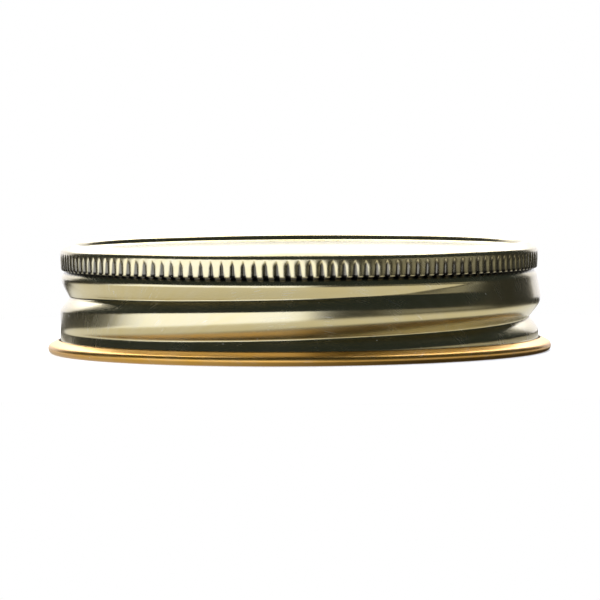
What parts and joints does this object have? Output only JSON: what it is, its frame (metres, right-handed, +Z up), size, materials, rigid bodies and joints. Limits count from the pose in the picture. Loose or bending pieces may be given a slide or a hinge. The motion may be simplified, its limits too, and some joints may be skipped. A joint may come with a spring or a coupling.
{
  "type": "metal screw cap",
  "caption": "Round tinplate screw cap with a knurled grip band, a rolled helical thread, an outward curl at its mouth and a flowed-in sealing ring.",
  "frame": {"origin": "centre of the mouth, on the plane that the bottom of the curl rests on", "axes": "+Z up the cap's axis through the top panel; the cap stands mouth down; -Y is the side that faces the viewer"},
  "size_m": [0.0742, 0.0742, 0.0161],
  "materials": {
    "lacquered_tinplate": "olive-gold transparent lacquer over bright tinplate outside, orange-gold lacquer inside and on the curl, satin",
    "sealing_compound": "flowed-in off-white sealing compound, satin"
  },
  "bodies": {
    "root": {"cap_shell": "lacquered_tinplate", "sealing_ring": "sealing_compound"}
  },
  "joints": []
}
